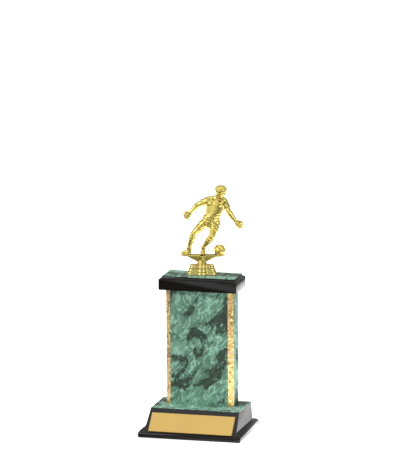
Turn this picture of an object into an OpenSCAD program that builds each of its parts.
// Figure trophy: a footballer on a boat-shaped stand, on a foil-wrapped column with a cap and a base.
// Millimetres. +X is the trophy's right as one faces it, +Y is the back, +Z is up.
// The origin is the middle of the underside of the base's felt.

/* [Base] */
// Width of the base's top face
base_top_w = 106; // [100:1:130]
// Depth of the base's top face
base_top_d = 56; // [52:1:70]
// Height of the base with its felt and laminate
base_h = 30; // [28:1:36]
// How far the sloping front runs forward
slope_run = 24; // [20:0.5:24]
// How far the front lip stands out past the foot of the slope
lip_out = 3.5; // [2:0.5:6]
// How much wider each side wall is at its foot than at its top
side_draft = 1.8; // [0:0.1:2]
// How far the foot moulding stands out from the wall
foot_out = 6.5; // [5.6:0.1:8]
// Height of the upright band of the foot moulding
foot_band_h = 4.4; // [3:0.1:5]
// Radius of the rounded top of the foot moulding
foot_round = 5.3; // [4:0.1:5.5]

/* [Column] */
// Width of the column over its foil
column_w = 80.6; // [70:0.2:90]
// Depth of the column over its foil
column_d = 31; // [28:0.5:36]
// Height of the column
column_h = 137; // [80:1:220]
// Width of the cut corners, measured along X
corner_x = 5.8; // [4:0.1:7]
// Width of the cut corners, measured along Y
corner_y = 4.9; // [4:0.1:7]
// How far the column's axis stands behind the middle of the base's top
column_back = 7.4; // [6:0.2:9]

/* [Cap] */
// Width of the cap
cap_w = 93.4; // [86:0.2:110]
// Depth of the cap
cap_d = 43.2; // [38:0.2:50]
// Height of the cap with its laminate
cap_h = 16; // [12:0.5:20]
// Radius of the hollow moulding round the cap's top edge
cap_cove = 3.4; // [2:0.1:4]

/* [Nameplate] */
// Width of the plate
plate_w = 100; // [80:1:102]
// Height of the plate up the slope
plate_h = 25.8; // [18:0.2:26]
// Thickness of the plate
plate_t = 0.8; // [0.5:0.1:1.5]

/* [Riser and fixings] */
// Height of the riser under the figure's stem
riser_h = 12.2; // [10:0.2:16]
// Thread diameter of the rod
rod_d = 4; // [4:0.5:4]
// Running clearance between the rod and the holes that steer it, on the radius
rod_gap = 0.08; // [0.05:0.01:0.1]

/* [Figure] */
// Radius of the football
ball_r = 6.8; // [6:0.1:7]
// Half the length of the figure's boat-shaped platform
platform_half = 26; // [25:0.2:30]
// How far the figure and its riser stand turned on the rod, anticlockwise from above
figure_yaw = 11; // [0:1:20]

/* [Hidden] */
$fn = 48;

// Sheet goods
felt_t = 0.8;
laminate_t = 0.4;
foil_t = 0.3;
strip_t = 0.25;
tape_t = 0.4;

// The base's top rectangle is set so that the felt's outline is centred on the origin.
base_front = base_top_d / 2 + slope_run + lip_out;
base_back = base_top_d / 2 + foot_out;
base_y = (base_front - base_back) / 2;
axis_y = base_y + column_back;
lip_h = base_h - slope_run;
base_half_w = base_top_w / 2 + side_draft + foot_out;
foot_h = foot_band_h + foot_round;
lip_round = lip_out * 0.6;

// Heights of the joints in the stack
block_top = base_h - laminate_t;
column_top = base_h + column_h;
cap_top = column_top + cap_h;
riser_top = cap_top + riser_h;

// Fixings
rod_hole_r = rod_d / 2 + rod_gap;
core_bore_r = 6;
recess_r = 12;
recess_top = 16;
washer_t = 1;
base_nut_h = 3.2;
nut_flats = 7;
nut_corner_r = nut_flats / 2 / cos(30);
dowel_r = 3;
dowel_len = 20;
dowel_gap = 0.05;
dowel_x = 26;
rod_bottom = 9;

// Figure stand
flange_t = 1.4;
stem_bottom = riser_top + flange_t;
stem_r = 4.8;
platform_top = riser_top + 11.6;
platform_x = 1;
platform_tip_t = 1.3;
platform_mid_t = 3;
platform_half_d = 4.8;
web_drop = 7.2;
web_reach = 14.2;
web_half_d = 3;
toe_x = 1.2;
toe_y = -5.4;
ball_x = 20.6;
ball_rise = 5.3;
cradle_h = 1.7;
cradle_half_w = 3.3;
cradle_half_d = 6.6;
figure_nut_z = stem_bottom + 1.2;
rod_top = figure_nut_z + base_nut_h + 1;

// ---------------------------------------------------------------- shared shapes

// Moves a shape from the column's axis to its place behind the middle of the base.
module on_axis(z = 0) { translate([0, axis_y, z]) children(); }

// The same for the riser and the figure, which stand turned on the rod.
module on_figure(z = 0) { translate([0, axis_y, z]) rotate([0, 0, figure_yaw]) children(); }

// Points along part of a circle, in a few short steps.
function arc(centre, r, from, to, steps = 6) = [for (i = [0 : steps])
    let (a = from + (to - from) * i / steps) centre + r * [cos(a), sin(a)]];

// Quarter round of the foot moulding, from its upright band up to its level top.
function foot_curve(reach) = arc([reach - foot_round, foot_band_h], foot_round, 0, 90);

// Outline of the column in plan, grown outwards by a distance on every face.
module column_outline(grow) {
    w = column_w / 2 + grow;
    d = column_d / 2 + grow;
    cx = corner_x + grow * 0.5;
    cy = corner_y + grow * 0.5;
    polygon([[w, d - cy], [w - cx, d], [cx - w, d], [-w, d - cy],
             [-w, cy - d], [cx - w, -d], [w - cx, -d], [w, cy - d]]);
}

// A straight rounded bar between two points, thinner or thicker at its second end.
module limb(a, ra, b, rb) {
    hull() {
        translate(a) sphere(ra, $fn = 12);
        translate(b) sphere(rb, $fn = 12);
    }
}

// Carries a shape that lies flat at the origin onto the sloping front, a distance off its face.
module on_slope(off) {
    along = slope_run * sqrt(2) * 0.5875;
    translate([0, base_y - base_top_d / 2 - along * cos(45), base_h - along * sin(45)])
        rotate([45, 0, 0]) translate([0, 0, off]) children();
}

// ---------------------------------------------------------------- base

// Section of the base from front to back, drawn as Y and Z.
module base_side_section() {
    front = base_y - base_top_d / 2;
    back = base_y + base_top_d / 2;
    lip = front - slope_run - lip_out;
    polygon(concat([[lip, 0], [back + foot_out, 0]], foot_curve(back + foot_out),
                   [[back, foot_h], [back, base_h], [front, base_h], [front - slope_run, lip_h]],
                   arc([lip + lip_round, lip_h - lip_round], lip_round, 90, 180)));
}

// Section of the base from left to right, drawn as X and Z.
module base_front_section() {
    top = base_top_w / 2;
    right = concat([[base_half_w, 0]], foot_curve(base_half_w),
                   [[top + side_draft, foot_h], [top, base_h]]);
    last = len(right) - 1;
    polygon(concat(right, [for (i = [0 : last]) [-right[last - i][0], right[last - i][1]]]));
}

module base_block() {
    color("#211f1d") difference() {
        intersection() {
            translate([-base_half_w - 1, 0, 0]) rotate([90, 0, 90])
                linear_extrude(2 * base_half_w + 2) base_side_section();
            translate([0, base_front + 20, 0]) rotate([90, 0, 0])
                linear_extrude(2 * base_front + 40) base_front_section();
            translate([-base_half_w, -base_front, felt_t])
                cube([2 * base_half_w, 2 * base_front, block_top - felt_t]);
        }
        on_axis(-1) cylinder(r = rod_hole_r, h = base_h + 2);
        on_axis(-1) cylinder(r = recess_r, h = recess_top + 1);
        for (side = [-1, 1])
            translate([side * dowel_x, axis_y, base_h - dowel_len / 2 - dowel_gap])
                cylinder(r = dowel_r + dowel_gap, h = dowel_len);
    }
}

module base_laminate() {
    color("#8fbfa5") difference() {
        translate([-base_top_w / 2, base_y - base_top_d / 2, block_top])
            cube([base_top_w, base_top_d, laminate_t]);
        on_axis(0) cylinder(r = rod_d, h = base_h + 1);
        for (side = [-1, 1])
            translate([side * dowel_x, axis_y, 0]) cylinder(r = dowel_r + dowel_gap, h = base_h + 1);
    }
}

module base_felt() {
    color("#1d2320") difference() {
        translate([-base_half_w + 1, -(base_front + base_back) / 2 + 1, 0])
            cube([2 * base_half_w - 2, base_front + base_back - 2, felt_t]);
        on_axis(-1) cylinder(r = recess_r + 1, h = felt_t + 2);
    }
}

// ---------------------------------------------------------------- nameplate

// A thin slab with sloping edges, widest at its underside.
module bevelled_slab(w, h, t, bevel) {
    intersection() {
        translate([0, h, 0]) rotate([90, 0, 0]) linear_extrude(2 * h)
            polygon([[-w / 2, 0], [w / 2, 0], [w / 2, t - bevel], [w / 2 - bevel, t],
                     [bevel - w / 2, t], [-w / 2, t - bevel]]);
        translate([-w, 0, 0]) rotate([90, 0, 90]) linear_extrude(2 * w)
            polygon([[-h / 2, 0], [h / 2, 0], [h / 2, t - bevel], [h / 2 - bevel, t],
                     [bevel - h / 2, t], [-h / 2, t - bevel]]);
    }
}

module nameplate() {
    color("#ddb76b") on_slope(tape_t) bevelled_slab(plate_w, plate_h, plate_t, plate_t / 2);
}

module nameplate_tape() {
    tape_inset = 3;
    color("#e8e6e0") on_slope(0)
        translate([-plate_w / 2 + tape_inset, -plate_h / 2 + tape_inset, 0])
            cube([plate_w - 2 * tape_inset, plate_h - 2 * tape_inset, tape_t]);
}

// ---------------------------------------------------------------- column

module column_core() {
    color("#b58e63") difference() {
        on_axis(base_h) linear_extrude(column_h) column_outline(-foil_t);
        on_axis(0) cylinder(r = core_bore_r, h = cap_top);
        for (side = [-1, 1], end = [base_h, column_top])
            translate([side * dowel_x, axis_y, end - dowel_len / 2 - dowel_gap])
                cylinder(r = dowel_r + dowel_gap, h = dowel_len + 2 * dowel_gap);
    }
}

module column_foil() {
    color("#64917d") on_axis(base_h) linear_extrude(column_h) difference() {
        column_outline(0);
        column_outline(-foil_t);
    }
}

// A strip of prism foil laid over one cut corner, from edge to edge.
module corner_strip(side, end) {
    w = column_w / 2;
    d = column_d / 2;
    length = norm([corner_x, corner_y]);
    out = [strip_t * corner_y / length, strip_t * corner_x / length];
    color("#e6b964") on_axis(base_h) linear_extrude(column_h)
        polygon([for (p = [[w, d - corner_y], [w - corner_x, d],
                           [w - corner_x + out[0], d + out[1]], [w + out[0], d - corner_y + out[1]]])
                 [side * p[0], end * p[1]]]);
}

module corner_strip_front_left() { corner_strip(-1, -1); }
module corner_strip_front_right() { corner_strip(1, -1); }
module corner_strip_back_left() { corner_strip(-1, 1); }
module corner_strip_back_right() { corner_strip(1, 1); }

// Two pins under the column and two over it, so that it can't turn on the rod.
module locating_dowels() {
    color("#cfae7e") for (side = [-1, 1], end = [base_h, column_top])
        translate([side * dowel_x, axis_y, end - dowel_len / 2]) cylinder(r = dowel_r, h = dowel_len);
}

// ---------------------------------------------------------------- cap

// Section of a board with a hollow quarter round along both top edges.
module coved_section(half, h) {
    difference() {
        translate([-half, 0]) square([2 * half, h]);
        for (side = [-1, 1]) translate([side * half, h]) circle(cap_cove);
    }
}

module cap_block() {
    color("#211f1d") difference() {
        on_axis(column_top) intersection() {
            translate([0, cap_d, 0]) rotate([90, 0, 0])
                linear_extrude(2 * cap_d) coved_section(cap_w / 2, cap_h);
            translate([-cap_w, 0, 0]) rotate([90, 0, 90])
                linear_extrude(2 * cap_w) coved_section(cap_d / 2, cap_h);
            translate([-cap_w, -cap_d, 0]) cube([2 * cap_w, 2 * cap_d, cap_h - laminate_t]);
        }
        on_axis(0) cylinder(r = rod_hole_r, h = cap_top + 1);
        for (side = [-1, 1])
            translate([side * dowel_x, axis_y, column_top - 1])
                cylinder(r = dowel_r + dowel_gap, h = dowel_len / 2 + dowel_gap + 1);
    }
}

module cap_laminate() {
    w = cap_w - 2 * cap_cove;
    d = cap_d - 2 * cap_cove;
    color("#8fbfa5") difference() {
        on_axis(cap_top - laminate_t) translate([-w / 2, -d / 2, 0]) cube([w, d, laminate_t]);
        on_axis(0) cylinder(r = rod_d, h = cap_top + 1);
    }
}

// ---------------------------------------------------------------- riser

// Plan of one tier: two wings with round ends and a round-ended boss from front to back.
module riser_plan(half_w, half_d) {
    end_r = half_d * 0.7;
    boss_r = half_d * 0.68;
    for (side = [-1, 1]) translate([side * (half_w - end_r), 0]) circle(end_r);
    square([2 * (half_w - end_r), 2 * end_r], center = true);
    for (side = [-1, 1]) translate([0, side * (half_d - boss_r)]) circle(boss_r);
    square([2 * boss_r, 2 * (half_d - boss_r)], center = true);
}

// Three tiers, each narrower than the one under it, hollow from below round a boss for the rod.
module riser() {
    foot = [0, 0.31, 0.62, 1];
    color("#d9c46a") difference() {
        on_figure(cap_top) for (i = [0 : 2])
            translate([0, 0, foot[i] * riser_h])
                linear_extrude((foot[i + 1] - foot[i]) * riser_h)
                    riser_plan(17.8 - i * 1.5, 8.6 - i * 0.8);
        on_figure(cap_top - 1) difference() {
            linear_extrude(riser_h - 0.6) riser_plan(12.4, 4.8);
            cylinder(r = 4.4, h = riser_h);
        }
        on_axis(cap_top - 1) cylinder(r = rod_hole_r, h = riser_h + 2);
    }
}

// ---------------------------------------------------------------- fixings

// A hexagon nut with a plain bore of the rod's size.
module hex_nut(h) {
    difference() {
        cylinder(r = nut_corner_r, h = h, $fn = 6);
        translate([0, 0, -1]) cylinder(r = rod_d / 2, h = h + 2);
    }
}

module threaded_rod() {
    color("#b9bdc0") on_axis(rod_bottom) cylinder(r = rod_d / 2, h = rod_top - rod_bottom);
}

module base_washer() {
    color("#b9bdc0") on_axis(recess_top - washer_t) difference() {
        cylinder(r = 9, h = washer_t);
        translate([0, 0, -1]) cylinder(r = rod_d / 2 + 0.15, h = washer_t + 2);
    }
}

module base_nut() { color("#b9bdc0") on_axis(recess_top - washer_t - base_nut_h) hex_nut(base_nut_h); }

module figure_nut() { color("#c9a24a") on_figure(figure_nut_z) hex_nut(base_nut_h); }

// ---------------------------------------------------------------- figure

// Underside of the web, at a distance from the stem's axis: level at the tips and down to the stem.
function web_z(x) = platform_top - platform_tip_t
    - web_drop * max(0, 1 - max(0, abs(x) - stem_r) / web_reach);

// Underside of the platform itself, which is deeper in its middle than at its tips.
function hull_z(u) = platform_top - platform_tip_t - (platform_mid_t - platform_tip_t) * (1 - u * u);

// The ball, grown a little where a hollow is cut for it; its underside is flat on the platform.
module ball_shape(grow) {
    r = ball_r + grow;
    difference() {
        translate([ball_x, 0, platform_top + ball_rise]) sphere(r);
        translate([ball_x - 10, -10, platform_top - 20]) cube([20, 20, 20]);
    }
}

module figure_stand() {
    steps = 24;
    tip = platform_half - 1;
    plan = [for (i = [0 : 2 * steps - 1]) let (a = i * 180 / steps)
            [platform_x + platform_half * cos(a), platform_half_d * sin(a)]];
    edge = [for (i = [0 : steps]) let (u = 2 * i / steps - 1) [platform_x + u * platform_half, hull_z(u)]];
    web = [for (i = [0 : steps]) let (x = platform_x - tip + 2 * tip * i / steps) [x, web_z(x)]];
    color("#e2c65c") on_figure(0) difference() {
        union() {
            intersection() {
                translate([0, 0, platform_top - platform_mid_t - 1])
                    linear_extrude(platform_mid_t + 1) polygon(plan);
                translate([0, platform_half_d + 1, 0]) rotate([90, 0, 0])
                    linear_extrude(2 * platform_half_d + 2)
                        polygon(concat(edge, [[platform_x + platform_half, platform_top],
                                              [platform_x - platform_half, platform_top]]));
            }
            translate([0, web_half_d, 0]) rotate([90, 0, 0]) linear_extrude(2 * web_half_d)
                polygon(concat(web, [[platform_x + tip, platform_top - platform_tip_t / 2],
                                     [platform_x - tip, platform_top - platform_tip_t / 2]]));
            translate([0, 0, stem_bottom]) cylinder(r = stem_r, h = platform_top - stem_bottom);
            translate([0, 0, riser_top]) cylinder(r = stem_r + 1, h = flange_t);
            translate([toe_x, toe_y, platform_top - 2.2]) cylinder(r = 3.4, h = 2.2);
            translate([ball_x - cradle_half_w, -cradle_half_d, platform_top - platform_tip_t])
                cube([2 * cradle_half_w, 2 * cradle_half_d, platform_tip_t + cradle_h]);
        }
        ball_shape(0.05);
        translate([0, 0, riser_top - 1]) cylinder(r = rod_d / 2 + 0.1, h = rod_top - riser_top + 1.6);
        translate([0, 0, riser_top - 1])
            cylinder(r = nut_corner_r, h = figure_nut_z + base_nut_h - riser_top + 1, $fn = 6);
    }
}

module football() { color("#d8bb4e") on_figure(0) ball_shape(0); }

// The player's joints, as offsets from the platform's top on the column's axis.
head = [22.5, -2.0, 74.3];
neck = [20.5, -0.4, 67.3];
chest = [15.9, 1.0, 58.5];
waist = [12.9, -0.6, 45.8];
hips = [10.4, 0.2, 38.9];
shoulder_l = [8.6, 0.8, 64.4];
elbow_l = [-4.8, 1.6, 58.2];
wrist_l = [-12.5, -0.6, 49.9];
tip_l = [-19.4, -1.8, 42.9];
shoulder_r = [26.1, 0.0, 62.9];
elbow_r = [30.9, 4.0, 50.3];
wrist_r = [38.8, 2.6, 39.6];
tip_r = [46.8, 0.8, 31.3];
hip_l = [3.6, 0.0, 37.6];
knee_l = [-9.4, -2.6, 25.0];
ankle_l = [-15.0, 0.4, 7.8];
toe_l = [-22.3, -1.8, 2.3];
hip_r = [16.5, 0.0, 37.1];
knee_r = [12.1, -5.0, 22.3];
ankle_r = [1.8, -0.6, 8.6];
toe_r = [1.0, -5.4, 2.2];

module player() {
    color("#e8cc62") on_figure(platform_top) difference() {
        union() {
            // Head and neck
            hull() {
                translate(head + [0, 1.0, 0.6]) sphere(6.2, $fn = 16);
                translate(head + [0, -1.6, -2.4]) sphere(4.9, $fn = 16);
            }
            limb(head + [0, 0.8, -2], 3.4, neck, 3.8);
            // Trunk
            hull() {
                for (p = [shoulder_l + [2.6, 0, 0], shoulder_r - [2.6, 0, 0]])
                    translate(p) sphere(4.0, $fn = 12);
                for (side = [-1, 1]) translate(chest + [side * 5.0, 0, -2]) sphere(5.3, $fn = 12);
                for (side = [-1, 1]) translate(waist + [side * 3.8, 0, 0]) sphere(4.8, $fn = 12);
            }
            hull() {
                for (side = [-1, 1]) translate(waist + [side * 3.8, 0, -2]) sphere(4.9, $fn = 12);
                for (side = [-1, 1]) translate(hips + [side * 4.4, 0, -1.6]) sphere(5.5, $fn = 12);
            }
            // Arms with short sleeves, and hands
            limb(shoulder_l, 4.1, shoulder_l * 0.4 + elbow_l * 0.6, 3.8);
            limb(shoulder_l, 3.2, elbow_l, 2.8);
            limb(elbow_l, 2.8, wrist_l, 2.0);
            limb(wrist_l, 2.2, tip_l, 1.6);
            limb(shoulder_r, 4.1, shoulder_r * 0.4 + elbow_r * 0.6, 3.8);
            limb(shoulder_r, 3.2, elbow_r, 2.8);
            limb(elbow_r, 2.8, wrist_r, 2.0);
            limb(wrist_r, 2.2, tip_r, 1.6);
            // Legs with shorts, socks and boots
            limb(hip_l, 5.4, hip_l * 0.5 + knee_l * 0.5, 4.9);
            limb(hip_l, 4.6, knee_l, 3.5);
            limb(knee_l, 3.5, knee_l * 0.6 + ankle_l * 0.4, 3.8);
            limb(knee_l * 0.6 + ankle_l * 0.4, 3.8, ankle_l, 2.5);
            limb(ankle_l + [0, 0, -5], 2.8, toe_l, 2.6);
            limb(ankle_l, 2.5, ankle_l + [0, 0, -5], 2.8);
            limb(hip_r, 5.4, hip_r * 0.5 + knee_r * 0.5, 4.9);
            limb(hip_r, 4.6, knee_r, 3.6);
            limb(knee_r, 3.6, knee_r * 0.6 + ankle_r * 0.4, 3.8);
            limb(knee_r * 0.6 + ankle_r * 0.4, 3.8, ankle_r, 2.6);
            limb(ankle_r + [0, 0.4, -5], 2.7, toe_r, 2.5);
            limb(ankle_r, 2.6, ankle_r + [0, 0.4, -5], 2.7);
        }
        // The soles are flat on the platform.
        translate([-60, -60, -20]) cube([120, 120, 20]);
    }
}

base_block();
base_laminate();
base_felt();
nameplate();
nameplate_tape();
column_core();
column_foil();
corner_strip_front_left();
corner_strip_front_right();
corner_strip_back_left();
corner_strip_back_right();
locating_dowels();
cap_block();
cap_laminate();
riser();
threaded_rod();
base_washer();
base_nut();
figure_nut();
figure_stand();
player();
football();
